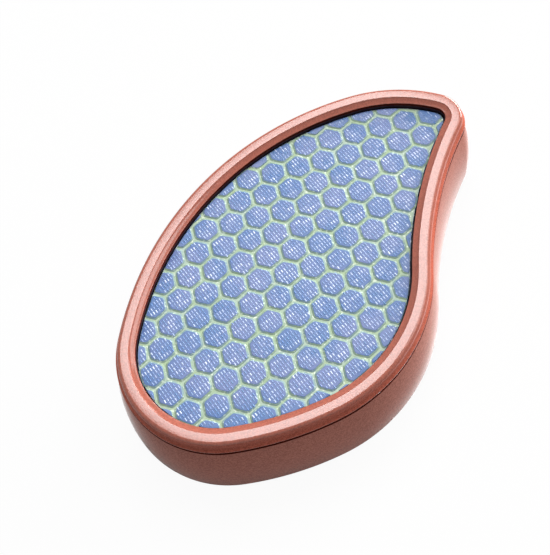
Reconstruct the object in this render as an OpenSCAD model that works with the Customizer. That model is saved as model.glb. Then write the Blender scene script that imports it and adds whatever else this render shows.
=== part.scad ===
// Foot file with a bonded glass plate, in a comma-shaped body.
//
// Four pieces: a hollow grip shell, a rim frame that plugs into it, a glass
// plate with a raised hexagon pattern, and the adhesive pad below the glass.
//
// Everything follows one closed outline, the middle line of the rim's crest.
// It is seven round arcs that run into each other without a corner. A wall is
// one section, drawn as [distance outside that line, height], lofted round the
// seven arcs. Z is up, the glass faces up and the tip points to +Y.

/* [Outline] */
// Radius of the round heel, at the wide end
heel_r = 19.9; // [18:0.1:23]
// Radius of the flatter flank between the heel and the belly
flank_r = 68.4; // [55:0.1:85]
// Radius of the belly, below the waist
belly_r = 33.9; // [30:0.1:38]
// Radius of the hollow waist between the belly and the tip
waist_r = 91.6; // [70:0.1:120]
// Radius of the tip
tip_r = 5; // [4.6:0.1:7]
// Radius of the shoulder beside the tip
shoulder_r = 31.9; // [26:0.1:38]
// Radius of the long back
back_r = 67.4; // [62:0.1:80]
// Distance from the middle of the heel to the middle of the tip, along Y
tip_reach = 71; // [64:0.5:78]
// Distance of the tip to the side of the heel's middle, along X
tip_side = 0.6; // [-3:0.1:4]
// Direction in which the heel runs into the flank, in degrees from +X
heel_end = -42; // [-52:1:-36]
// Turn of the flank, in degrees
flank_turn = 17.5; // [10:0.5:24]
// Turn of the shoulder, in degrees
shoulder_turn = 36.5; // [28:0.5:45]

/* [Heights] */
// Height of the crest above the base
total_h = 22.5; // [20:0.5:28]
// Depth of the glass face below the crest
glass_sink = 1.8; // [1:0.1:2.5]
// Height of the rim's outer side, from the crest down to the parting groove
side_h = 3; // [2.6:0.1:5]

/* [Rim frame] */
// Width of the flat crest
crest_w = 2.1; // [1.2:0.05:3]
// Rounding of the crest's outer edge
crest_round = 0.85; // [0.3:0.05:1]
// Distance that the rim's lip stands outside the crest
side_w = 1.1; // [0.8:0.05:2]
// Height of the upright band at the lip
lip_h = 0.5; // [0.3:0.05:1]
// Width of the slope between the crest and the glass recess
slope_w = 1.25; // [1:0.05:2.2]
// Drop of that slope
slope_drop = 0.6; // [0.3:0.05:1]
// Wall round the glass recess
recess_wall = 1.4; // [1:0.1:1.8]
// Thickness of the floor below the glass
floor_t = 1.6; // [1.2:0.1:2.4]
// Height of the skirt that plugs into the shell
skirt_h = 3.2; // [2.2:0.1:4]
// Thickness of the skirt
skirt_wall = 0.9; // [0.7:0.05:1.2]
// Thickness of the rim below the crest
crest_t = 2.6; // [2:0.1:3.2]

/* [Parting groove] */
// Height of the groove between rim and shell
groove_h = 0.6; // [0.3:0.05:0.8]
// Depth of the groove
groove_d = 0.6; // [0.3:0.05:0.8]
// Clearance between the skirt and the shell
fit_gap = 0.1; // [0.05:0.01:0.2]

/* [Grip shell] */
// Distance that the shell's widest line stands outside its top edge
flare_w = 1.85; // [0.8:0.05:3]
// Height of that widest line above the base
widest_h = 4.5; // [3.5:0.1:8]
// Rounding of the base edge
base_round = 2.5; // [1.5:0.1:3.5]
// Thickness of the side wall
shell_wall = 2.4; // [1.9:0.1:2.8]
// Thickness of the base
base_t = 2.2; // [1.6:0.1:3]
// Thickness of the shell's lip outside the skirt
lip_wall = 1.2; // [1:0.05:1.4]

/* [Glass plate] */
// Thickness of the glass, with its pattern
glass_t = 3.2; // [2.5:0.1:5]
// Gap between the glass and the wall of its recess
glass_gap = 0.3; // [0.2:0.05:0.9]
// Bevel of the glass edge
glass_bevel = 0.15; // [0.1:0.05:0.5]
// Distance from one hexagon to the next
cell_pitch = 5.8; // [4:0.1:9]
// Width of the lines between the hexagons
line_w = 0.75; // [0.5:0.05:1.6]
// Height of the raised hexagons
cell_h = 0.25; // [0.1:0.05:0.5]
// Plain margin round the pattern
cell_margin = 0.15; // [0.1:0.05:1.2]
// Direction of the rows of hexagons, in degrees from +X
cell_turn = -6; // [-30:1:30]

/* [Adhesive pad] */
// Thickness of the pad
pad_t = 0.5; // [0.3:0.1:1]
// Distance from the pad's edge to the edge of the glass
pad_inset = 0.6; // [0.3:0.1:1.5]

/* [Posts] */
// Diameter of the posts in the shell
post_d = 6; // [5:0.5:8]
// Diameter of the pins that press into the posts
pin_d = 3; // [2:0.1:3.5]
// Length of the pins below the floor
pin_h = 5; // [3:0.5:8]
// Clearance between a pin and its hole
pin_gap = 0.05; // [0.02:0.01:0.1]
// Distance of the posts inside the middle line of the rim
post_inset = 9.5; // [8:0.5:12]

/* [Hidden] */

// Facets of the posts and pins
$fn = 48;
// Distance by which the lofted facets may cut inside a true arc
SAG = 0.03;
// Steps along each rounding of a section, and along the shell's long flare
BEND_STEPS = 5;
FLARE_STEPS = 7;
// Overlap of solids that are one piece
MERGE = 0.4;
// Bevel of the small edges at the crest's inner side, the parting groove and the skirt
EDGE = 0.2;

// Arcs that carry the four posts, and the direction of each post from its arc's middle
post_arcs = [0, 2, 5, 6];
post_dirs = [228, -2, 128, 183];
// A hexagon's middle, from the middle of the heel
cell_start = [5.26, 20.76];

function unit(a) = [cos(a), sin(a)];
function heading(v) = atan2(v[1], v[0]);
function turn_between(a, b) = (b - a + 720) % 360;

// The point at distance a from p and b from q, to the right of the way from p to q
function meet(p, a, q, b) =
    let (d = norm(q - p), e = (q - p) / d, m = (a * a - b * b + d * d) / (2 * d))
    p + m * e + sqrt(a * a - m * m) * [e[1], -e[0]];

// The angle between sides a and b of a triangle whose third side is c
function corner_angle(a, b, c) = acos((a * a + b * b - c * c) / (2 * a * b));

// Points on the round bend from p to q that swells to the left of its chord by the given rise
function bend(p, q, rise, n = BEND_STEPS) =
    let (c = norm(q - p), e = (q - p) / c, left = [-e[1], e[0]],
         r = (c * c / 4 + rise * rise) / (2 * rise), half = asin(c / 2 / r))
    [for (i = [0 : n]) let (a = half * (2 * i / n - 1))
        (p + q) / 2 + left * (rise - r) + r * (sin(a) * e + cos(a) * left)];

// Points on a round about c from direction a, turning by the given angle
function round_edge(c, r, a, turn, n = BEND_STEPS) = [for (i = [0 : n]) c + r * unit(a + turn * i / n)];

// Middles of the seven arcs. Each touches the next from inside, and the waist from outside.
heel = [0, 0];
flank_end = heel_end + flank_turn;
flank = heel - (flank_r - heel_r) * unit(heel_end);
belly = flank + (flank_r - belly_r) * unit(flank_end);
tip = [tip_side, tip_reach];
waist = meet(belly, waist_r + belly_r, tip, waist_r + tip_r);

// From tip to back by way of the shoulder, as if the tip ended at +X. Turned by
// tip_end, it brings the back to where its arc touches the heel.
tip_to_back = [shoulder_r - tip_r, 0] + (back_r - shoulder_r) * unit(shoulder_turn);
tip_end = heading(tip) - heading(tip_to_back)
    + corner_angle(norm(tip), norm(tip_to_back), back_r - heel_r);
shoulder_end = tip_end + shoulder_turn;
shoulder = tip - (shoulder_r - tip_r) * unit(tip_end);
back = shoulder - (back_r - shoulder_r) * unit(shoulder_end);

// Directions, from the middles, in which the other arcs run into each other
heel_start = heading(heel - back);
belly_end = heading(waist - belly);
tip_start = heading(waist - tip);

// Each arc: middle, radius, direction where it starts, and turn, which is negative on the hollow waist
arcs = [
    [heel, heel_r, heel_start, turn_between(heel_start, heel_end)],
    [flank, flank_r, heel_end, turn_between(heel_end, flank_end)],
    [belly, belly_r, flank_end, turn_between(flank_end, belly_end)],
    [waist, waist_r, belly_end + 180, -turn_between(tip_start, belly_end)],
    [tip, tip_r, tip_start, turn_between(tip_start, tip_end)],
    [shoulder, shoulder_r, tip_end, turn_between(tip_end, shoulder_end)],
    [back, back_r, shoulder_end, turn_between(shoulder_end, heel_start)]
];

// Points of one arc, at a distance outside the middle line, without its last
function arc_points(arc, out) =
    let (n = ceil(abs(arc[3]) / (2 * acos(1 - SAG / (arc[1] + widest_out)))))
    [for (i = [0 : n - 1]) arc[0] + (arc[1] + sign(arc[3]) * out) * unit(arc[2] + arc[3] * i / n)];

// The closed outline at a distance outside the middle line
function outline(out) = [for (arc = arcs) each arc_points(arc, out)];

// True where a point lies inside a ring of points
function inside(p, ring) =
    let (n = len(ring), hits = [for (i = [0 : n - 1]) let (a = ring[i], b = ring[(i + 1) % n])
        if ((a[1] > p[1]) != (b[1] > p[1]) &&
            p[0] < a[0] + (b[0] - a[0]) * (p[1] - a[1]) / (b[1] - a[1])) 1])
    len(hits) % 2 == 1;

// Distances outside the middle line
crest_out = crest_w / 2;
lip_out = crest_out + side_w;
recess_out = -crest_out - slope_w;
channel_out = recess_out + recess_wall;
floor_out = recess_out - 2 * MERGE;
glass_out = recess_out - glass_gap;
cell_out = glass_out - glass_bevel - cell_margin;
pad_out = glass_out - pad_inset;
widest_out = lip_out + flare_w;
rebate_out = lip_out - lip_wall;
skirt_out = rebate_out - fit_gap;
skirt_in = skirt_out - skirt_wall;

// Heights above the base
groove_top = total_h - side_h;
shell_top = groove_top - groove_h;
skirt_foot = shell_top - skirt_h;
ledge_z = skirt_foot - 2 * fit_gap;
channel_top = total_h - crest_t;
glass_top = total_h - glass_sink;
glass_foot = glass_top - glass_t;
floor_top = glass_foot - pad_t;
floor_foot = floor_top - floor_t;
post_top = floor_foot - fit_gap;

// The middle of the part, seen from above, is the origin
edge = outline(widest_out);
middle = [for (k = [0, 1]) (min([for (p = edge) p[k]]) + max([for (p = edge) p[k]])) / 2];

// Middles of the posts
posts = [for (i = [0 : 3]) let (arc = arcs[post_arcs[i]])
    arc[0] + (arc[1] - post_inset) * unit(post_dirs[i])];

// How far outside the middle line the shell's outer face stands at a height
flare_rise = shell_top - widest_h;
flare_r = (flare_rise * flare_rise + flare_w * flare_w) / (2 * flare_w);
function shell_out(z) = widest_out - flare_r + sqrt(flare_r * flare_r - pow(z - widest_h, 2));

// Lofts a closed section round the outline. The section runs anticlockwise.
module wall(section) {
    rings = [for (s = section) [for (p = outline(s[0])) [p[0], p[1], s[1]]]];
    m = len(rings);
    n = len(rings[0]);
    polyhedron(
        points = [for (ring = rings) each ring],
        faces = [for (j = [0 : m - 1], i = [0 : n - 1]) let (k = (j + 1) % m, l = (i + 1) % n)
            [j * n + i, k * n + i, k * n + l, j * n + l]]
    );
}

// A flat plate inside the outline
module plate(out, low, high) {
    translate([0, 0, low]) linear_extrude(high - low) polygon(outline(out));
}

// The shell: round base edge, flared side, lip, rebate for the skirt, inner wall and base
function shell_section() =
    let (inner_out = widest_out - shell_wall, inner_r = base_round / 2, inner_z = base_t + inner_r,
         outer = [for (i = [1 : FLARE_STEPS]) widest_h + (flare_rise - EDGE) * i / FLARE_STEPS],
         inner = [for (i = [FLARE_STEPS : -1 : 0]) widest_h + (ledge_z - widest_h) * i / FLARE_STEPS])
    concat(
        round_edge([widest_out - base_round, base_round], base_round, -90, 90),
        [[widest_out, widest_h]],
        [for (z = outer) [shell_out(z), z]],
        [[lip_out - EDGE, shell_top], [rebate_out, shell_top], [rebate_out, ledge_z]],
        [for (z = inner) [shell_out(z) - shell_wall, z]],
        round_edge([inner_out - inner_r, inner_z], inner_r, 0, -90),
        [[floor_out, base_t], [floor_out, 0]]
    );

// The rim: hollow side, crest, slope, recess, floor, channel, skirt, groove and lip
function rim_section() =
    let (round_c = [crest_out - crest_round / 2, total_h - crest_round],
         side_foot = [lip_out, groove_top + lip_h], side_head = round_c + [crest_round, 0],
         slope_head = [-crest_out, total_h - EDGE / 2],
         slope_foot = [recess_out + EDGE / 2, total_h - slope_drop])
    concat(
        bend(side_foot, side_head, side_w / 5),
        round_edge(round_c, crest_round, 30, 60),
        [[EDGE - crest_out, total_h]],
        bend(slope_head, slope_foot, slope_drop / 5),
        [
            [recess_out, total_h - slope_drop - EDGE / 2], [recess_out, floor_top],
            [floor_out, floor_top], [floor_out, floor_foot], [channel_out, floor_foot],
            [channel_out, channel_top], [skirt_in, channel_top], [skirt_in, skirt_foot],
            [skirt_out - EDGE, skirt_foot], [skirt_out, skirt_foot + 2 * EDGE],
            [skirt_out, shell_top], [lip_out - groove_d, shell_top],
            [lip_out - groove_d, groove_top], [lip_out - EDGE, groove_top],
            [lip_out, groove_top + EDGE]
        ]
    );

// The glass edge, bevelled above and below
function glass_section() =
    let (high = glass_top - cell_h, bevel_out = glass_out - glass_bevel, in = bevel_out - MERGE)
    [
        [bevel_out, glass_foot], [glass_out, glass_foot + glass_bevel],
        [glass_out, high - glass_bevel], [bevel_out, high], [in, high], [in, glass_foot]
    ];

module grip_shell() {
    color("rosybrown") {
        wall(shell_section());
        plate(floor_out + MERGE, 0, base_t);
        for (p = posts)
            translate([p[0], p[1], base_t - MERGE])
                difference() {
                    cylinder(d = post_d, h = post_top - base_t + MERGE);
                    translate([0, 0, post_top - base_t + MERGE - pin_h])
                        cylinder(d = pin_d + 2 * pin_gap, h = pin_h + 1);
                }
    }
}

module rim_frame() {
    color("lightpink") {
        wall(rim_section());
        plate(floor_out + MERGE, floor_foot, floor_top);
        for (p = posts)
            translate([p[0], p[1], floor_foot - pin_h + 2 * fit_gap])
                cylinder(d = pin_d, h = pin_h - 2 * fit_gap + MERGE);
    }
}

// The raised hexagons, cut off along the plain margin
module cells() {
    reach = outline(cell_out + cell_pitch / 2);
    count = ceil(1.2 * tip_reach / cell_pitch);
    linear_extrude(cell_h + MERGE)
        intersection() {
            polygon(outline(cell_out));
            for (i = [-count : count], j = [-count : count]) {
                p = cell_start + cell_pitch * (i * unit(cell_turn) + j * unit(cell_turn + 60));
                if (inside(p, reach))
                    translate(p)
                        rotate(cell_turn + 30)
                            circle(r = (cell_pitch - line_w) / sqrt(3), $fn = 6);
            }
        }
}

module glass_plate() {
    color("cornflowerblue") {
        union() {
            wall(glass_section());
            plate(glass_out - glass_bevel - MERGE / 2, glass_foot, glass_top - cell_h);
        }
        translate([0, 0, glass_top - cell_h - MERGE]) cells();
    }
}

module adhesive_pad() {
    color("midnightblue") plate(pad_out, floor_top, glass_foot);
}

translate([-middle[0], -middle[1], 0]) {
    grip_shell();
    rim_frame();
    glass_plate();
    adhesive_pad();
}
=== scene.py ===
# %% [markdown]
# # A glass foot file in a rose-gold body
#
# The real tool lies in the hand like a smooth pebble. A plate of etched glass
# does the filing. It is bonded into a rim frame, and the frame plugs into a
# hollow grip shell. Both mouldings are sprayed with one metallic lacquer.
#
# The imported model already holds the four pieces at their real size, but as flat
# facets. This lesson builds each piece again as a fine smooth surface of the
# same form, and gives every surface a finish of its own.

import bpy
import numpy as np
from mathutils import Matrix, Vector


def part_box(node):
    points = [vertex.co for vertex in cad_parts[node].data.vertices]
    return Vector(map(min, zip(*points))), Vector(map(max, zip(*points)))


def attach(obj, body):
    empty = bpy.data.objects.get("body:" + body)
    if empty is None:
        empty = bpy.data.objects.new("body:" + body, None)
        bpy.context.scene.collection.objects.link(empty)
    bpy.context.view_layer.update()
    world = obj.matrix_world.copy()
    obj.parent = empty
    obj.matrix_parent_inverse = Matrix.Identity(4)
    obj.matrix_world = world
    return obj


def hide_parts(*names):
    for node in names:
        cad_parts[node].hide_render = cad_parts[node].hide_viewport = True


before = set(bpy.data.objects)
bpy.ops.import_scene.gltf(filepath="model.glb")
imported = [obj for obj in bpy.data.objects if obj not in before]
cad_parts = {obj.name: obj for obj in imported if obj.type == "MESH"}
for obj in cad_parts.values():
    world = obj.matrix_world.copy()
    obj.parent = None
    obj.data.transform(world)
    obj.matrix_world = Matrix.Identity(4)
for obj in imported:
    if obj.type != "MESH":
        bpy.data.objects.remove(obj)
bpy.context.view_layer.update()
MM = 0.001

# %% [markdown]
# ## The camera
#
# A camera needs a point to look at, a distance, and three angles. The regular
# hexagons of the glass show all of these in the photograph, because a known
# pattern in perspective has only one place to be seen from. The lens is given
# for a 36 mm wide sensor, along the longer side of the picture.

# %% Place the camera
AIM = Vector((-6.16, -6.04, 11.25)) * MM
DISTANCE = 220.5 * MM
AZIMUTH, ELEVATION, ROLL = np.radians((51.82, 63.04, -12.23))
LENS = 64.45

level = Vector((np.cos(AZIMUTH), np.sin(AZIMUTH), 0))
flat = np.cos(ELEVATION)
towards = Vector((np.sin(AZIMUTH) * flat, -np.cos(AZIMUTH) * flat, np.sin(ELEVATION)))
upright = towards.cross(level)
right = level * np.cos(ROLL) + upright * np.sin(ROLL)
up = towards.cross(right)

camera = bpy.data.objects.new("camera", bpy.data.cameras.new("camera"))
camera.data.lens = LENS
camera.data.clip_start = 10 * MM
turn = Matrix((right, up, towards)).transposed().to_4x4()
camera.matrix_world = Matrix.Translation(AIM + towards * DISTANCE) @ turn
bpy.context.scene.collection.objects.link(camera)
bpy.context.scene.camera = camera
bpy.context.scene.view_settings.view_transform = "Standard"

# %% [markdown]
# ## The outline
#
# Seen from above, the body is a comma: a round heel, a full belly, a hollow
# waist, a small tip and a long back. A draughtsman would draw it with compasses,
# so it is seven arcs that touch without a corner. A spline through points would
# be quicker, but its curvature wobbles, and a glossy rim shows every wobble.
#
# Where two arcs touch, their middles and the joint lie on one line. So each
# middle follows from the last, and the arcs at the back and the waist close the
# chain. The numbers are millimetres and degrees, from the middle of the heel.

# %% The seven arcs
HEEL_R, FLANK_R, BELLY_R, WAIST_R = 19.9, 68.4, 33.9, 91.6
TIP_R, SHOULDER_R, BACK_R = 5.0, 31.9, 67.4
TIP_SIDE, TIP_REACH = 0.6, 71.0
HEEL_END, FLANK_TURN, SHOULDER_TURN = -42.0, 17.5, 36.5


def unit(degrees):
    """A unit vector: the cosine and the sine of an angle."""
    return np.stack((np.cos(np.radians(degrees)), np.sin(np.radians(degrees))), -1)


def heading(v):
    """The angle of a vector, in degrees from +X."""
    return np.degrees(np.arctan2(v[1], v[0]))


def corner_angle(a, b, c):
    """The angle between sides a and b of a triangle, from the law of cosines."""
    return np.degrees(np.arccos((a * a + b * b - c * c) / (2 * a * b)))


heel = np.zeros(2)
flank_end = HEEL_END + FLANK_TURN
flank = heel - (FLANK_R - HEEL_R) * unit(HEEL_END)
belly = flank + (FLANK_R - BELLY_R) * unit(flank_end)
tip = np.array((TIP_SIDE, TIP_REACH))

tip_to_belly = belly - tip
waist_angle = corner_angle(WAIST_R + TIP_R, np.linalg.norm(tip_to_belly), WAIST_R + BELLY_R)
waist = tip + (WAIST_R + TIP_R) * unit(heading(tip_to_belly) + waist_angle)

tip_to_back = np.array((SHOULDER_R - TIP_R, 0)) + (BACK_R - SHOULDER_R) * unit(SHOULDER_TURN)
back_angle = corner_angle(np.linalg.norm(tip), np.linalg.norm(tip_to_back), BACK_R - HEEL_R)
tip_end = heading(tip) - heading(tip_to_back) + back_angle
shoulder_end = tip_end + SHOULDER_TURN
shoulder = tip - (SHOULDER_R - TIP_R) * unit(tip_end)
back = shoulder - (BACK_R - SHOULDER_R) * unit(shoulder_end)

heel_start = heading(heel - back)
belly_end = heading(waist - belly)
tip_start = heading(waist - tip)

# On the waist the radius points inwards, so its angles lie half a turn on
middles = np.array((heel, flank, belly, waist, tip, shoulder, back))
radii = np.array((HEEL_R, FLANK_R, BELLY_R, WAIST_R, TIP_R, SHOULDER_R, BACK_R))
starts = np.array((
    heel_start, HEEL_END, flank_end, belly_end + 180, tip_start, tip_end, shoulder_end,
))
ends = np.array((
    HEEL_END, flank_end, belly_end, tip_start + 180, tip_end, shoulder_end, heel_start + 360,
))
turns = (ends - starts + 180) % 360 - 180
side = np.sign(turns)
print("turn of each arc:", turns.round(1), "in all", turns.sum().round(3))

# %% [markdown]
# ## Walking along the outline
#
# A wall of the body is one section, carried along the outline. That needs the
# points of the outline and the direction that faces outwards at each of them.
# On an arc this direction is the radius itself, and on the hollow waist it is
# the radius turned round.
#
# The same arcs also answer a question about any point of the plane: how far
# outside the outline does it lie? It is asked later, to cut the hexagons off at
# the edge of the glass.

# %% Outline as points, and as a distance
TINY = 1e-6


def walk(step):
    """Points along the outline, middle + radius * unit(angle), and their outward directions."""
    counts = np.ceil(np.abs(np.radians(turns)) * radii / step).astype(int)
    arc = np.repeat(np.arange(len(radii)), counts)
    share = np.concatenate([np.arange(n) / n for n in counts])
    ray = unit(starts[arc] + share * turns[arc])
    return middles[arc] + radii[arc, None] * ray, side[arc, None] * ray


def outside(points):
    """Distance outside the outline: that from the arc's middle, less the radius, or the reverse.

    The reverse is for the waist. A point counts for an arc if it lies in the arc's sector, and
    where several arcs count, the greatest distance does.
    """
    away = points[..., None, :] - middles
    angle = np.degrees(np.arctan2(away[..., 1], away[..., 0]))
    in_sector = ((angle - starts) * side) % 360 <= np.abs(turns) + TINY
    distance = (np.linalg.norm(away, axis=-1) - radii) * side
    return np.where(in_sector, distance, -np.inf).max(-1)


# %% [markdown]
# ## Sections
#
# A section is a list of corners, each written as distance outside the outline,
# height above the base, and how far the corner is eased off. Real mouldings and
# ground glass have no sharp edges, and it is these small rounds that catch the
# light and make an edge look real.
#
# Next to each round lies one more point on the straight run. Smooth shading
# averages the faces that meet at a point, and without that extra point a flat
# face beside a round would look swollen.

# %% Section helpers
EASE_STEPS, GUARD, SAME_POINT = 5, 0.05, 0.001


def bend(p, q, rise, steps):
    """A bend from p to q that swells to the left: centre + radius * (sine along, cosine across)."""
    p, q = np.array(p, float), np.array(q, float)
    chord = np.linalg.norm(q - p)
    along = (q - p) / chord
    left = np.array((-along[1], along[0]))
    radius = (chord * chord / 4 + rise * rise) / (2 * rise)
    half = np.arcsin(chord / 2 / radius)
    a = np.linspace(-half, half, steps + 1)[:, None]
    points = (p + q) / 2 + left * (rise - radius) + radius * (np.sin(a) * along + np.cos(a) * left)
    return np.column_stack((points, np.zeros(len(points))))


def eased(*corners):
    """Each corner P becomes a parabola, (1-t)^2 A + 2t(1-t) P + t^2 B, between two guard points."""
    rows = np.vstack(corners)
    p, ease = rows[:, :2], rows[:, 2:]
    before, after = np.roll(p, 1, 0) - p, np.roll(p, -1, 0) - p
    before /= np.linalg.norm(before, axis=1, keepdims=True)
    after /= np.linalg.norm(after, axis=1, keepdims=True)
    t = np.linspace(0, 1, EASE_STEPS + 1)[:, None]
    a, b = p + before * ease, p + after * ease
    curve = (1 - t) ** 2 * a[:, None] + 2 * t * (1 - t) * p[:, None] + t**2 * b[:, None]
    reach = np.where(ease > 0, ease + GUARD, 0)
    first, last = (p + before * reach)[:, None], (p + after * reach)[:, None]
    rows = np.concatenate((first, curve, last), 1).reshape(-1, 2)
    return rows[np.linalg.norm(rows - np.roll(rows, 1, 0), axis=1) > SAME_POINT]


# %% [markdown]
# ## From section to mesh
#
# The swept surface is a grid: one direction goes along the section, the other
# round the outline. The whole grid is one sum of arrays. The first and the last
# row close with one flat face each, so a piece with a floor is a closed solid.

# %% Sweep, caps and mesh
STEP, LATHE_COLUMNS = 0.45, 48


def sweep(section):
    """A grid with a row for each point of the section: outline point + out * outward direction."""
    points, outward = walk(STEP)
    grid = np.empty((len(section), len(points), 3))
    grid[..., :2] = points + section[:, None, :1] * outward
    grid[..., 2] = section[:, 1:]
    return grid


def quads(rows, columns):
    """Four corners for each face of a grid whose columns close in a ring, counter-clockwise."""
    j, i = np.meshgrid(np.arange(rows - 1), np.arange(columns), indexing="ij")
    right_of = (i + 1) % columns
    low, high = j * columns, (j + 1) * columns
    return np.stack((low + i, low + right_of, high + right_of, high + i), -1).reshape(-1, 4)


def closed_grid(grid, finish=0, cap_finish=(0, 0)):
    """A shell from a grid of rings, with a flat cap on its first ring and on its last.

    The finish is the number of a material slot, or a function that gives one for each row of
    the grid's faces.
    """
    rows, columns = grid.shape[:2]
    ring = np.arange(columns)
    row_finish = finish(grid) if callable(finish) else np.full(rows - 1, finish)
    blocks = [
        (quads(rows, columns), np.repeat(row_finish, columns)),
        (ring[None, ::-1], cap_finish[0]),
        (ring[None] + (rows - 1) * columns, cap_finish[1]),
    ]
    return grid.reshape(-1, 3), blocks


def lathe(profile, middle):
    """A turned grid: middle + radius * unit(angle), at the height of each point of the profile."""
    grid = np.empty((len(profile), LATHE_COLUMNS, 3))
    angles = np.arange(LATHE_COLUMNS) * 360 / LATHE_COLUMNS
    grid[..., :2] = middle + profile[:, None, :1] * unit(angles)
    grid[..., 2] = profile[:, 1:]
    return grid


def make_piece(name, shells, smooth_below=35):
    """One object of several closed shells, in metres, with the footprint's middle at the origin."""
    points, faces, finishes, first = [], [], [], 0
    for shell_points, blocks in shells:
        points.append(shell_points - (*footprint_middle, 0))
        for block, finish in blocks:
            faces += (block + first).tolist()
            finishes.append(np.broadcast_to(finish, len(block)))
        first += len(shell_points)
    mesh = bpy.data.meshes.new(name)
    mesh.from_pydata((np.concatenate(points) * MM).tolist(), [], faces)
    mesh.polygons.foreach_set("material_index", np.concatenate(finishes).astype(np.int32))
    mesh.shade_smooth()
    mesh.set_sharp_from_angle(angle=np.radians(smooth_below))
    piece = bpy.data.objects.new(name, mesh)
    bpy.context.scene.collection.objects.link(piece)
    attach(piece, "root")
    triangles = sum(len(face) - 2 for face in faces)
    print(name, "has", first, "points and", triangles, "triangles")
    return piece


WIDEST_OUT, FINE_STEP = 3.975, 0.05
line, outward = walk(FINE_STEP)
footprint = line + WIDEST_OUT * outward
footprint_middle = (footprint.min(0) + footprint.max(0)) / 2
print("middle of the footprint, from the heel:", footprint_middle.round(3))


# %% [markdown]
# ## The sizes of the build
#
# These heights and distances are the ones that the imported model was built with.
# The frame gives the heights where a node starts and ends, so they are read from
# there. The others are named here once, and both mouldings use them.

# %% Sizes shared by the pieces
shell_top, rim_top = (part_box(node)[1] / MM for node in ("grip_shell", "rim_frame"))
glass_foot, glass_top = (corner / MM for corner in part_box("glass_plate"))

TOTAL_H, SHELL_TOP = rim_top.z, shell_top.z
GLASS_TOP, GLASS_FOOT = glass_top.z, glass_foot.z
CREST_OUT, LIP_OUT, RECESS_OUT = 1.05, 2.15, -2.3
GROOVE_TOP, LIP_H = TOTAL_H - 3.0, 0.5
FLOOR_TOP = GLASS_FOOT - 0.5
FLOOR_FOOT = FLOOR_TOP - 1.6
WIDEST_H, BASE_T, BASE_ROUND, SHELL_WALL = 4.5, 2.2, 2.5, 2.4
REBATE_OUT, FIT_GAP = LIP_OUT - 1.2, 0.1
SKIRT_OUT = REBATE_OUT - FIT_GAP
SKIRT_FOOT = SHELL_TOP - 3.2
FLOOR_OUT = RECESS_OUT - 0.8
print("crest at", round(TOTAL_H, 2), "glass from", round(GLASS_FOOT, 2), "to", round(GLASS_TOP, 2))

# %% [markdown]
# ## The grip shell
#
# The shell is an injection moulding: a bowl with an even wall. From the parting
# groove its side flares out in one long soft curve, then turns in at the base.
# The curve is part of a circle that stands upright at the widest line, so the
# side runs into the base edge without a break.
#
# Four posts stand on its floor and take the pins of the rim.

# %% Grip shell
flare_rise = SHELL_TOP - WIDEST_H
flare_w = WIDEST_OUT - LIP_OUT
flare_r = (flare_rise**2 + flare_w**2) / (2 * flare_w)


def flare(z):
    """Distance outside the outline on the side: the widest line, less the sag of a circle."""
    return WIDEST_OUT - flare_r + np.sqrt(flare_r**2 - (z - WIDEST_H) ** 2)


def quarter(out, z, radius, start, turn, steps):
    """Rows of a section on a quarter round: centre + radius * unit(angle)."""
    points = np.array((out, z)) + radius * unit(np.linspace(start, start + turn, steps + 1))
    return np.column_stack((points, np.zeros(steps + 1)))


LEDGE_Z = SKIRT_FOOT - 2 * FIT_GAP
outer_z = np.linspace(WIDEST_H, SHELL_TOP, 40)[1:-1]
inner_z = np.linspace(LEDGE_Z, WIDEST_H, 20)
inner_out = WIDEST_OUT - SHELL_WALL
inner_r = BASE_ROUND / 2
shell_section = eased(
    (FLOOR_OUT, 0, 0),
    quarter(WIDEST_OUT - BASE_ROUND, BASE_ROUND, BASE_ROUND, -90, 90, 16),
    np.column_stack((flare(outer_z), outer_z, 0 * outer_z)),
    (LIP_OUT, SHELL_TOP, 0.2),
    (REBATE_OUT, SHELL_TOP, 0.1),
    (REBATE_OUT, LEDGE_Z, 0.05),
    np.column_stack((flare(inner_z) - SHELL_WALL, inner_z, 0 * inner_z)),
    quarter(inner_out - inner_r, BASE_T + inner_r, inner_r, 0, -90, 8),
    (FLOOR_OUT, BASE_T, 0),
)

POST_R, PIN_R, PIN_H, PIN_GAP, POST_INSET = 3.0, 1.5, 5.0, 0.05, 9.5
POST_EDGE, POST_ROOT = 0.2, 0.4
POST_ARCS = np.array((0, 2, 5, 6))
POST_DIRECTIONS = np.array((228, -2, 128, 183))
posts = middles[POST_ARCS] + (radii[POST_ARCS] - POST_INSET)[:, None] * unit(POST_DIRECTIONS)
post_top = FLOOR_FOOT - FIT_GAP
bore_r, bore_foot = PIN_R + PIN_GAP, post_top - PIN_H
post_profile = np.array((
    (POST_R, BASE_T - POST_ROOT), (POST_R, post_top - POST_EDGE),
    (POST_R - POST_EDGE, post_top), (bore_r + POST_EDGE, post_top),
    (bore_r, post_top - POST_EDGE), (bore_r, bore_foot),
))

# Rows of the section that the top face takes, and how far the painted shade of the groove runs down
# from it
TOP_ROWS, TOP_EDGE = 8, 0.15


def sprayed_outside(grid):
    """Lacquer, 0, up to the top face, painted shade, 2, on that, and bare plastic, 1, inside."""
    z = grid[:, 0, 2]
    inside = np.arange(len(z) - 1) > z.argmax() + TOP_ROWS
    # Finish 2 is painted shade on the top face, where the lip above shades the groove
    return np.select([inside, z[1:] > SHELL_TOP - TOP_EDGE], [1, 2], 0)


shell_wall = closed_grid(sweep(shell_section), sprayed_outside, cap_finish=(0, 1))
shell_posts = [closed_grid(lathe(post_profile, p), 1, (1, 1)) for p in posts]
grip_shell = make_piece("shell_body", [shell_wall, *shell_posts])
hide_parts("grip_shell")

# %% [markdown]
# ## The rim frame
#
# The rim is what the eye meets first: a flat crest with eased edges, a hollow
# outer side that ends in a thin upright lip, and on the inside a short hollow
# slope down to the glass. Below, it is cored out to an even wall, as a moulder
# would ask, and a skirt plugs into the shell. The gap between lip and shell is
# the parting groove.

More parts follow.
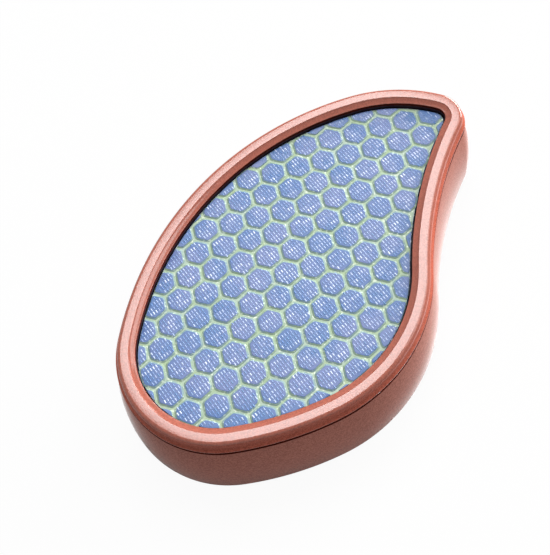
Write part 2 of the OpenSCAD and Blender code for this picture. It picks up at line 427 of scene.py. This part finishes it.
# %% Rim frame
CREST_ROUND, SLOPE_DROP, GROOVE_D = 0.85, 0.6, 0.6
CHANNEL_OUT, CHANNEL_TOP = RECESS_OUT + 1.4, TOTAL_H - 2.6
SKIRT_IN = SKIRT_OUT - 0.9
SIDE_HOLLOW, SLOPE_HOLLOW, SLOPE_START = 0.22, 0.05, 0.12
# How far above the glass the recess wall's painted shade turns from dark red to near-black, and how
# far a finish runs round an edge
SHADE_REACH, SPRAY_EDGE = 0.35, 0.12
crest_edge = CREST_OUT - CREST_ROUND / 2
rim_section = eased(
    (FLOOR_OUT, FLOOR_FOOT, 0),
    (CHANNEL_OUT, FLOOR_FOOT, 0.1),
    (CHANNEL_OUT, CHANNEL_TOP, 0.2),
    (SKIRT_IN, CHANNEL_TOP, 0.2),
    (SKIRT_IN, SKIRT_FOOT, 0.1),
    (SKIRT_OUT, SKIRT_FOOT, 0.3),
    (SKIRT_OUT, SHELL_TOP, 0),
    (LIP_OUT - GROOVE_D, SHELL_TOP, 0),
    (LIP_OUT - GROOVE_D, GROOVE_TOP, 0.06),
    (LIP_OUT, GROOVE_TOP, 0.18),
    bend(
        (LIP_OUT, GROOVE_TOP + LIP_H),
        (crest_edge + CREST_ROUND, TOTAL_H - CREST_ROUND), SIDE_HOLLOW, 24,
    ),
    quarter(crest_edge, TOTAL_H - CREST_ROUND, CREST_ROUND, 9, 81, 12),
    (-CREST_OUT, TOTAL_H, 0.18),
    bend(
        (-CREST_OUT - 0.05, TOTAL_H - SLOPE_START),
        (RECESS_OUT + 0.1, TOTAL_H - SLOPE_DROP), SLOPE_HOLLOW, 12,
    ),
    (RECESS_OUT, TOTAL_H - SLOPE_DROP - 0.05, 0.05),
    (RECESS_OUT, GLASS_TOP + SHADE_REACH, 0),
    (RECESS_OUT, FLOOR_TOP, 0.1),
    (FLOOR_OUT, FLOOR_TOP, 0),
)
PIN_TAPER = 0.4
pin_foot, pin_root = FLOOR_FOOT - PIN_H + 2 * FIT_GAP, FLOOR_FOOT + PIN_TAPER
pin_profile = np.array((
    (PIN_R - PIN_TAPER, pin_foot), (PIN_R, pin_foot + PIN_TAPER),
    (PIN_R, pin_root), (PIN_R - PIN_TAPER, pin_root),
))


def sprayed_above(grid):
    """Satin, 0, on the side, polished, 3, on top, painted shade, 2, in groove and recess, or
    plastic, 1.
    """
    z = (grid[:-1, 0, 2] + grid[1:, 0, 2]) / 2
    outer = np.arange(len(z)) < z.argmax()
    polished = z > TOTAL_H - np.where(outer, CREST_ROUND / 2, SLOPE_DROP + SPRAY_EDGE)
    satin = outer & (z > GROOVE_TOP + SPRAY_EDGE)
    # Painted shade: dark red under the lip, and on the recess wall above the glass
    shade_band = z > np.where(outer, SHELL_TOP - SPRAY_EDGE, GLASS_TOP + SHADE_REACH)
    return np.select([polished, satin, shade_band], [3, 0, 2], 1)


rim_wall = closed_grid(sweep(rim_section), sprayed_above, cap_finish=(1, 1))
rim_pins = [closed_grid(lathe(pin_profile, p), 1, (1, 1)) for p in posts]
rim_frame = make_piece("rim_body", [rim_wall, *rim_pins])
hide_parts("rim_frame")

# %% [markdown]
# ## The glass plate
#
# The plate is cut to the outline, with its edges ground to a narrow bevel. It was
# laid in by hand, so it sits a hair off the middle of its recess. Its top is
# etched into raised hexagons with rounded corners and sloping sides, and the
# outermost are cut off just inside the edge.
#
# One hexagon could be modelled and copied, but the cut ones all differ. So each
# cell is a ring of rays from a point inside it. How far a ray runs is found by
# halving an interval: is the point still inside the hexagon, and inside the
# field? Eighteen halvings, for all rays of all cells at once, place every edge
# to less than a thousandth of a millimetre.

# %% Glass body
GLASS_OUT, GLASS_BEVEL, CELL_H = RECESS_OUT - 0.3, 0.08, 0.25
SEAT = np.array((-0.03, -0.06))
groove_floor = GLASS_TOP - CELL_H
glass_section = eased(
    (GLASS_OUT - 2, GLASS_FOOT, 0),
    (GLASS_OUT - GLASS_BEVEL, GLASS_FOOT, 0.05),
    (GLASS_OUT, GLASS_FOOT + GLASS_BEVEL, 0.05),
    (GLASS_OUT, groove_floor - GLASS_BEVEL, 0.05),
    (GLASS_OUT - GLASS_BEVEL, groove_floor, 0.05),
    (GLASS_OUT - 2, groove_floor, 0),
)


def ground_edge(grid):
    """Ground glass, 1, for rows below the groove floor, and the groove, 2, for the flat top."""
    return np.where(grid[:-1, 0, 2] > groove_floor - TINY, 2, 1)


# %% Hexagon cells
PITCH, LINE_W, ROW_TURN = 5.8, 0.75, -6.0
FIRST_CELL = np.array((5.26, 20.76))
CELL_R = (PITCH - LINE_W) / 2
FIELD_OUT = GLASS_OUT - GLASS_BEVEL - 0.06
ROUND_POWER, RAYS, HALVINGS, LONGEST_RAY = 14, 60, 18, 2.5 * CELL_R
# How far a cut cell must reach into the field, and how far inside it grows from
LEAST_CELL, ROOT_INSET, PROBE = 0.25, 0.12, 0.01
TOOTH_H = 0.07
cell_top = GLASS_TOP - TOOTH_H
side_normals = unit(ROW_TURN + 60 * np.arange(3))


def lattice(first, along, across, count):
    """All points first + i * along + j * across, with i and j from -count to count."""
    i, j = np.meshgrid(np.arange(-count, count + 1), np.arange(-count, count + 1), indexing="ij")
    return first + i.reshape(-1, 1) * along + j.reshape(-1, 1) * across


def beyond_cell(points, cell):
    """Distance outside a rounded hexagon: (sum of |p . normal| ^ power) ^ (1 / power) - radius."""
    reach = np.abs((points - cell) @ side_normals.T)
    return (reach**ROUND_POWER).sum(-1) ** (1 / ROUND_POWER) - CELL_R


def beyond_field(points):
    """Distance outside the field of hexagons: outside(point - seat) - the field's distance."""
    return outside(points - SEAT) - FIELD_OUT


cells = lattice(FIRST_CELL, PITCH * unit(ROW_TURN), PITCH * unit(ROW_TURN + 60), 16)
cells = cells[beyond_field(cells) < CELL_R - LEAST_CELL]

# A cell whose middle lies past the edge of the field grows from a point just inside it
uphill = np.stack([
    (beyond_field(cells + shift) - beyond_field(cells - shift)) / (2 * PROBE)
    for shift in ((PROBE, 0), (0, PROBE))
], -1)
roots = cells - uphill * np.maximum(beyond_field(cells) + ROOT_INSET, 0)[:, None]

rays = unit(ROW_TURN + np.arange(RAYS) * 360 / RAYS)
inner = np.zeros((len(cells), RAYS))
outer = np.full((len(cells), RAYS), LONGEST_RAY)
for _ in range(HALVINGS):
    reach = (inner + outer) / 2
    points = roots[:, None] + reach[..., None] * rays
    within = np.maximum(beyond_cell(points, cells[:, None]), beyond_field(points)) < 0
    inner, outer = np.where(within, reach, inner), np.where(within, outer, reach)
cut = inner.min(1) < CELL_R * 0.98
print(len(cells), "hexagons,", int(cut.sum()), "of them cut off by the edge of the field")

# Each row of a cell: how much of the ray it reaches, and its height
cell_rows = np.array((
    (1.115, groove_floor - 0.03), (1.095, groove_floor + 0.01),
    (0.95, cell_top - 0.03), (0.93, cell_top - 0.005), (0.9, cell_top),
))
cell_points = np.empty((len(cells), len(cell_rows), RAYS, 3))
cell_points[..., :2] = roots[:, None, None] + (cell_rows[:, :1] * inner[:, None])[..., None] * rays
cell_points[..., 2] = cell_rows[:, 1:]
cell_first = np.arange(len(cells))[:, None] * len(cell_rows) * RAYS
cell_sides = (quads(len(cell_rows), RAYS)[None] + cell_first[..., None]).reshape(-1, 4)
cell_caps = np.arange(RAYS) + (len(cell_rows) - 1) * RAYS + cell_first

# The sloping side has finish 3, the groove wall, and the rounded shoulder finish 0, the blue
cell_finish = np.tile(np.repeat((3, 3, 0, 0), RAYS), len(cells))

# %% [markdown]
# ## The teeth
#
# What files the skin is finer still: rows of low ridges, etched on top of each
# cell. The rows are turned a few degrees from the rows of hexagons, so that no
# two cells are cut by them in the same way.
#
# One ridge is a hipped roof of six points and five faces, no more, because there
# are thousands of them. Each one also carries a number called glint, the strength
# of a painted highlight: the material paints the tooth whiter by it, in short
# stacks and a little at random, as if it caught the light. The flat glass between
# the ridges has a glint of -1, so it can be told apart.

# %% Teeth
TOOTH_L, TOOTH_W, RIDGE_L = 0.8, 0.36, 0.5
TOOTH_SINK, TOOTH_TURN = 0.03, -14.0
# Least distance of a tooth's middle from the edge of the field, and from the side of its cell
FROM_EDGE, FROM_SIDE = 0.35, 0.28
tooth_shape = np.array((
    (-TOOTH_L, -TOOTH_W, -2 * TOOTH_SINK), (TOOTH_L, -TOOTH_W, -2 * TOOTH_SINK),
    (TOOTH_L, TOOTH_W, -2 * TOOTH_SINK), (-TOOTH_L, TOOTH_W, -2 * TOOTH_SINK),
    (-RIDGE_L, 0, 2 * TOOTH_H), (RIDGE_L, 0, 2 * TOOTH_H),
)) / 2
TOOTH_PITCH = np.array((0.95, 0.66))
along, across = unit(TOOTH_TURN), unit(TOOTH_TURN + 90)
teeth = lattice(FIRST_CELL, TOOTH_PITCH[0] * along, TOOTH_PITCH[1] * across, 100)
teeth = teeth[beyond_field(teeth) < -FROM_EDGE]
home = np.linalg.norm(teeth[:, None] - cells, axis=-1).argmin(1)
kept = beyond_cell(teeth, cells[home]) < -FROM_SIDE
teeth, home = teeth[kept], home[kept]

# The glint is a painted highlight: how much whiter the material paints each tooth, in short stacks
# in each cell and a little at random
rng = np.random.default_rng(7)
STACKS, STACK_SPREAD = 4, 1.8
offset = teeth - cells[home]
tooth_uv = np.stack((offset @ along, offset @ across), -1)
stack_uv = rng.uniform(-STACK_SPREAD, STACK_SPREAD, (len(cells), STACKS, 2))
stack_light = rng.uniform(0.25, 1.0, (len(cells), STACKS)) ** 1.4
near_stack = np.abs(tooth_uv[:, None] - stack_uv[home]) < TOOTH_PITCH * (0.5, 1.3)
own_light = rng.uniform(0.5, 1.0, len(teeth))
stray_light = rng.uniform(0.1, 0.75, len(teeth)) ** 2
glint = np.maximum((near_stack.all(-1) * stack_light[home]).max(1) * own_light, stray_light)

tooth_points = np.empty((len(teeth), 6, 3))
tooth_points[..., :2] = teeth[:, None] + tooth_shape[:, :1] * along + tooth_shape[:, 1:2] * across
tooth_points[..., 2] = cell_top + tooth_shape[:, 2]
tooth_first = np.arange(len(teeth))[:, None, None] * 6
tooth_quads = (np.array(((3, 2, 1, 0), (0, 1, 5, 4), (2, 3, 4, 5))) + tooth_first).reshape(-1, 4)
tooth_ends = (np.array(((1, 2, 5), (3, 0, 4))) + tooth_first).reshape(-1, 3)
print(len(teeth), "teeth,", int((glint > 0.5).sum()), "of them bright")

glass_body = sweep(glass_section)
glass_body[..., :2] += SEAT
glass_plate = make_piece("glass_file_plate", [
    closed_grid(glass_body, ground_edge, cap_finish=(1, 2)),
    (cell_points.reshape(-1, 3), [(cell_sides, cell_finish), (cell_caps, 0)]),
    (tooth_points.reshape(-1, 3), [(tooth_quads, 0), (tooth_ends, 0)]),
], smooth_below=30)
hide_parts("glass_plate")
# Each tooth's six points carry its painted highlight, and all other points of the plate get -1
plate_glint = np.full(len(glass_plate.data.vertices), -1.0)
plate_glint[-6 * len(teeth):] = np.repeat(glint, 6)
glass_plate.data.attributes.new("glint", "FLOAT", "POINT").data.foreach_set("value", plate_glint)

# %% [markdown]
# ## The foam tape
#
# Double-sided foam tape holds the glass down. Only its dark edge could be seen,
# through the narrow gap beside the glass. Pressed between two flat faces, foam
# bulges at its edge, and the half round of its section shows that.

# %% Adhesive pad
PAD_OUT = GLASS_OUT - 0.6
PAD_CLEAR, PAD_BULGE = 0.01, 0.12
pad_radius = (GLASS_FOOT - FLOOR_TOP) / 2 - PAD_CLEAR
pad_middle = (GLASS_FOOT + FLOOR_TOP) / 2
half_round = unit(np.linspace(-90, 90, 13))
pad_section = np.vstack((
    (PAD_OUT - 2, pad_middle - pad_radius),
    (PAD_OUT - PAD_BULGE, pad_middle) + half_round * (PAD_BULGE, pad_radius),
    (PAD_OUT - 2, pad_middle + pad_radius),
))
adhesive_pad = make_piece("foam_tape", [closed_grid(sweep(pad_section))])
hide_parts("adhesive_pad")

# %% [markdown]
# ## Materials as expressions
#
# A procedural material is a small calculation that runs at every point of a
# surface. Wiring it by hand takes a node for each plus and each times. The class
# below wraps a socket, so that Python's own operators add those nodes, and
# `1 - mask` can be written as it is read. Every other node comes from one
# method, which takes the node's type, its settings and its inputs.
#
# All patterns read Object coordinates. These are in metres, so a scale of 1000
# gives a pattern about a millimetre wide.


# %% The shader helper
class Wire:
    """A value in a node tree: the socket that it comes from. Its operators add Math nodes."""

    def __init__(self, tree, socket=None):
        self.tree, self.socket = tree, socket

    def node(self, kind, settings=None, inputs=None, out=0):
        """A node of a type. Its settings come first, then its inputs, as values or wires."""
        node = self.tree.nodes.new("ShaderNode" + kind)
        for key, value in (settings or {}).items():
            setattr(node, key, value)
        for key, value in (inputs or {}).items():
            if isinstance(key, int):
                socket = node.inputs[key]
            else:
                socket = next(s for s in node.inputs if s.enabled and s.name == key)
            if isinstance(value, Wire):
                self.tree.links.new(value.socket, socket)
            else:
                socket.default_value = value
        return Wire(self.tree, node.outputs[out] if node.outputs else None)

    def math(self, operation, *values):
        """One Math node on values or wires."""
        return self.node("Math", {"operation": operation}, dict(enumerate(values)))

    def __add__(self, other):
        return self.math("ADD", self, other)

    def __radd__(self, other):
        return self.math("ADD", other, self)

    def __sub__(self, other):
        return self.math("SUBTRACT", self, other)

    def __rsub__(self, other):
        return self.math("SUBTRACT", other, self)

    def __mul__(self, other):
        return self.math("MULTIPLY", self, other)

    def __rmul__(self, other):
        return self.math("MULTIPLY", other, self)


def srgb(red, green, blue):
    """A screen colour made linear: ((c + 0.055) / 1.055) ^ 2.4, or c / 12.92 where nearly black."""
    c = np.array((red, green, blue)) / 255
    linear = np.where(c > 0.04045, ((c + 0.055) / 1.055) ** 2.4, c / 12.92)
    return (*linear.tolist(), 1.0)


def new_material(name):
    """An empty material, a wire to start its nodes from, and the piece's Object coordinates."""
    material = bpy.data.materials.new(name)
    material.use_nodes = True
    material.node_tree.nodes.clear()
    start = Wire(material.node_tree)
    return material, start, start.node("TexCoord", out=3)


def mix(factor, low, high):
    """A colour between two colours: low where the factor is 0, high where it is 1."""
    return factor.node("Mix", {"data_type": "RGBA"}, {"Factor": factor, "A": low, "B": high}, out=2)


def ease(value, low, high):
    """0 below low, 1 above high, and a smooth step between them."""
    limits = {"Value": value, "From Min": low, "From Max": high}
    return value.node("MapRange", {"interpolation_type": "SMOOTHSTEP"}, limits)


def noise(place, scale):
    """Cloudy noise between 0 and 1, about 1 / scale metres wide."""
    return place.node("TexNoise", None, {"Vector": place, "Scale": scale, "Detail": 2.0})


def grains(place, scale):
    """One random brightness for each grain of a Voronoi pattern."""
    cell_color = place.node("TexVoronoi", None, {"Vector": place, "Scale": scale}, out=1)
    return cell_color.node("SeparateColor", None, {"Color": cell_color})


def bump(height, strength, distance):
    """A tilted normal from a height pattern. The distance is in metres."""
    return height.node("Bump", None, {"Height": height, "Strength": strength, "Distance": distance})


def surface(**sockets):
    """A Principled shader and the material's output. Socket names are written with underscores."""
    first = next(value for value in sockets.values() if isinstance(value, Wire))
    named = {key.replace("_", " "): value for key, value in sockets.items()}
    shader = first.node("BsdfPrincipled", None, named)
    shader.node("OutputMaterial", None, {"Surface": shader})


# %% [markdown]
# ## Sprayed rose-gold lacquer
#
# The lacquer is a clear resin full of aluminium flakes and a copper pigment. Up
# close it sparkles in fine grains, and its clear top coat has a faint orange
# peel. Each grain of the flake pattern gets its own brightness, and the bump
# tilts it a little, so a highlight breaks up into points.
#
# Four variants share this recipe. The crest and the slope of the rim are
# polished, with a strong clear coat. The sides of rim and shell are satin: they
# have little coat, and a sheen that brightens them where they turn away. The
# parting groove and the upper wall of the recess get a dark red variant: painted
# shade, where the lip and the deep gap beside the glass keep the light out.

# %% Lacquer
FLAKE_SCALE, PEEL_SCALE, CLOUD_SCALE = 4200, 700, 70


def lacquer(name, light, deep, gloss, sheen):
    """Two tones by grain and cloud, a clear coat, and a bump of flakes and orange peel."""
    material, start, place = new_material(name)
    flake = grains(place, FLAKE_SCALE)
    tone = ease(flake * 0.75 + noise(place, CLOUD_SCALE) * 0.25, 0.1, 0.85)
    surface(
        Base_Color=mix(tone, srgb(*deep), srgb(*light)),
        Roughness=flake * 0.12 + 0.4,
        Specular_IOR_Level=0.0,
        Coat_Weight=gloss,
        Coat_Roughness=0.15,
        Sheen_Weight=sheen,
        Sheen_Roughness=0.2,
        Normal=bump(flake * 0.4 + noise(place, PEEL_SCALE), 0.15, 0.0001),
    )
    return material


crest_lacquer = lacquer("crest_lacquer", (162, 88, 70), (140, 74, 58), gloss=0.95, sheen=0.0)
rim_lacquer = lacquer("rim_lacquer", (188, 100, 80), (162, 81, 63), gloss=0.18, sheen=1.0)
shell_lacquer = lacquer("shell_lacquer", (186, 118, 102), (160, 98, 84), gloss=0.14, sheen=1.0)
# Painted shade: a dark red lacquer for the parting groove and the upper recess wall, where the lip
# and the gap beside the glass keep the light out
painted_shade_lacquer = lacquer("painted_shade_lacquer", (104, 40, 28), (80, 28, 20), gloss=0.0, sheen=0.0)

# %% [markdown]
# ## Bare plastic and foam
#
# The inside of the shell is masked from the spray, so it shows the moulding's own
# near-black plastic, with the fine matte texture that spark erosion leaves in a
# mould. The lower part of the recess wears the same near-black, as bare plastic
# and as painted shade of the deep gap beside the glass. The foam tape is as dark,
# but full of tiny bubbles cut open at its edge.


# %% Bare plastic and foam
def dark_matte(name, light, deep, scale, depth):
    """Two near-black tones, with a bump of small grains."""
    material, start, place = new_material(name)
    grain = grains(place, scale)
    surface(
        Base_Color=mix(grain, srgb(*deep), srgb(*light)),
        Roughness=grain * 0.15 + 0.5,
        Normal=bump(grain + noise(place, scale), 0.4, depth),
    )
    return material


# Near-black: bare plastic inside the shell, and painted shade of the gap on the lower recess wall
bare_plastic_and_gap_shade = dark_matte("bare_plastic_and_gap_shade", (44, 26, 40), (26, 12, 24), scale=3500, depth=0.00004)
foam = dark_matte("foam_tape", (46, 48, 66), (16, 16, 30), scale=5000, depth=0.0001)

# %% [markdown]
# ## Etched glass
#
# The plate is clear glass over a coloured backing, etched until its surface
# scatters light. Four finishes show: the blue cells with their teeth, the pale
# yellow-green floor of the grooves, their duller sides, and the ground edge.
#
# The blue is not even. It drifts towards lilac in patches some millimetres wide,
# which is a slow noise. Then the glint of each tooth, stored with its points,
# paints the tooth from blue to nearly white, a painted highlight. Where the glint
# is below zero, the glass is a darker blue, and the rows of teeth stand out
# against it.

# %% Glass finishes
GLASS_GLOSS = {"Specular_IOR_Level": 0.2, "Coat_Weight": 0.08, "Coat_Roughness": 0.2}
ETCH_DEPTH = 0.00005


def etched_blue():
    """Blue to lilac by slow noise, greener by fine noise, then darker or a painted white highlight
    by the glint.
    """
    material, start, place = new_material("etched_cells")
    glint = start.node("Attribute", {"attribute_name": "glint"}, out=2)
    drift = ease(noise(place, 90), 0.35, 0.65)
    fleck = ease(noise(place, 1100), 0.35, 0.7)
    blue = mix(drift, srgb(88, 122, 178), srgb(120, 138, 184))
    blue = mix(fleck * 0.55, blue, srgb(92, 136, 166))
    hollow = mix(drift, srgb(68, 100, 150), srgb(94, 110, 156))
    blue = mix(ease(glint, -1, 0), hollow, blue)
    surface(
        # Painted highlight: a tooth turns nearly white by its glint
        Base_Color=mix(ease(glint, 0.0, 1.0), blue, srgb(216, 226, 250)),
        Roughness=0.4,
        Normal=bump(noise(place, 2500), 0.3, ETCH_DEPTH),
        **GLASS_GLOSS,
    )
    return material


def groove_floor_finish():
    """Pale yellow-green, greener in patches, with whiter flecks."""
    material, start, place = new_material("groove_floor")
    patch = ease(noise(place, 260), 0.35, 0.65)
    fleck = ease(noise(place, 1400), 0.55, 0.75)
    green = mix(patch, srgb(156, 176, 158), srgb(148, 170, 134))
    surface(
        Base_Color=mix(fleck, green, srgb(208, 218, 198)),
        Roughness=0.5 - fleck * 0.2,
        Normal=bump(noise(place, 2000), 0.5, ETCH_DEPTH),
        **GLASS_GLOSS,
    )
    return material


def groove_wall_finish():
    """Dull blue-green glass, with yellow-green patches and pale flecks."""
    material, start, place = new_material("groove_wall")
    patch = ease(noise(place, 500), 0.4, 0.6)
    fleck = ease(noise(place, 1500), 0.55, 0.7)
    green = mix(patch, srgb(120, 144, 150), srgb(136, 158, 138))
    surface(
        Base_Color=mix(fleck, green, srgb(184, 202, 190)),
        Roughness=0.5,
        Normal=bump(noise(place, 2000), 0.5, ETCH_DEPTH),
        **GLASS_GLOSS,
    )
    return material


def ground_edge_finish():
    """Pale grey-blue ground glass, with brighter chips along the edge."""
    material, start, place = new_material("ground_edge")
    chip = ease(noise(place, 1000), 0.5, 0.65)
    surface(
        Base_Color=mix(chip, srgb(120, 142, 172), srgb(220, 228, 236)),
        Roughness=0.4 - chip * 0.15,
        Normal=bump(noise(place, 1800), 0.5, ETCH_DEPTH),
        **GLASS_GLOSS,
    )
    return material


# %% Give each piece its finishes
FINISHES = {
    grip_shell: (shell_lacquer, bare_plastic_and_gap_shade, painted_shade_lacquer),
    rim_frame: (rim_lacquer, bare_plastic_and_gap_shade, painted_shade_lacquer, crest_lacquer),
    glass_plate: (etched_blue(), ground_edge_finish(), groove_floor_finish(), groove_wall_finish()),
    adhesive_pad: (foam,),
}
for piece, materials in FINISHES.items():
    for material in materials:
        piece.data.materials.append(material)
    print(piece.name, "wears", ", ".join(material.name for material in materials))

# %% [markdown]
# ## The studio
#
# A small product is shot between softboxes, and each one stands where a surface
# that should shine mirrors it to the camera. The large one overhead is mirrored
# by the flat crest, which turns bright. A dimmer one beside it is mirrored by
# the slope down to the glass. A low window behind the tip lights the far flank.
# Nothing lights the near side, so it falls off into deep brown, and that
# contrast is what shows the form.
#
# The floor and the world look white to the camera, and to rays that metal and
# glass send out, by the Light Path node. For soft light they are plain and pale.
# The floor lies a hair below the base, because two faces in one plane flicker.

# %% Floor and world
WHITE = (1.0, 1.0, 1.0, 1.0)


def seen_directly(wire):
    """1 for a camera, glossy or transmission ray, and 0 for the rays of soft light."""
    outputs = wire.node("LightPath").socket.node.outputs
    names = ("Is Camera Ray", "Is Glossy Ray", "Is Transmission Ray")
    camera_ray, glossy, transmission = (Wire(wire.tree, outputs[name]) for name in names)
    return wire.math("MAXIMUM", wire.math("MAXIMUM", camera_ray, glossy), transmission)


FLOOR_SIZE, FLOOR_TONE, SHADOW_SHARE, AMBIENT = 6.0, 0.6, 0.05, 0.12
FLOOR_Z = -0.05 * MM

floor_material, start, _ = new_material("pale_floor")
paper = start.node("BsdfDiffuse", None, {"Color": (FLOOR_TONE, FLOOR_TONE, FLOOR_TONE, 1.0)})
glow = start.node("Emission", None, {"Color": WHITE, "Strength": 1.0})
share = seen_directly(start) * (1 - SHADOW_SHARE)
shown = start.node("MixShader", None, {"Fac": share, 1: paper, 2: glow})
start.node("OutputMaterial", None, {"Surface": shown})

floor_mesh = bpy.data.meshes.new("floor")
half = FLOOR_SIZE / 2
corners = [(x * half, y * half, FLOOR_Z) for x, y in ((-1, -1), (1, -1), (1, 1), (-1, 1))]
floor_mesh.from_pydata(corners, [], [(0, 1, 2, 3)])
floor_mesh.materials.append(floor_material)
floor = bpy.data.objects.new("floor", floor_mesh)
bpy.context.scene.collection.objects.link(floor)

world = bpy.data.worlds.new("studio")
world.use_nodes = True
world.node_tree.nodes.clear()
sky = Wire(world.node_tree)
strength = seen_directly(sky) * (1 - AMBIENT) + AMBIENT
background = sky.node("Background", None, {"Color": WHITE, "Strength": strength})
sky.node("OutputWorld", None, {"Surface": background})
bpy.context.scene.world = world


# %% Lamps
def softbox(name, azimuth, elevation, distance, size, radiance, long_side=(0, 1, 0)):
    """An area lamp that faces the object and sends out pi * area * radiance watts.

    Its long side points as nearly as it can along the given direction.
    """
    a, e = np.radians((azimuth, elevation))
    back = Vector((np.cos(a) * np.cos(e), np.sin(a) * np.cos(e), np.sin(e)))
    along = Vector(long_side)
    along = (along - back * along.dot(back)).normalized()
    lamp = bpy.data.lights.new(name, "AREA")
    lamp.shape = "RECTANGLE"
    lamp.size, lamp.size_y = size
    lamp.energy = np.pi * size[0] * size[1] * radiance
    holder = bpy.data.objects.new(name, lamp)
    turn = Matrix((along, back.cross(along), back)).transposed().to_4x4()
    holder.matrix_world = Matrix.Translation(back * distance) @ turn
    bpy.context.scene.collection.objects.link(holder)
    print(name, "gives", round(lamp.energy, 1), "watts")


softbox("overhead", azimuth=136, elevation=64, distance=2.0, size=(1.12, 0.84), radiance=12.5)
softbox(
    "window", azimuth=92, elevation=12, distance=1.4, size=(1.0, 0.5), radiance=22,
    long_side=(1, 0, 0),
)
softbox(
    "fill", azimuth=68, elevation=54, distance=2.0, size=(1.1, 0.7), radiance=6,
    long_side=(1, -0.4, 0),
)
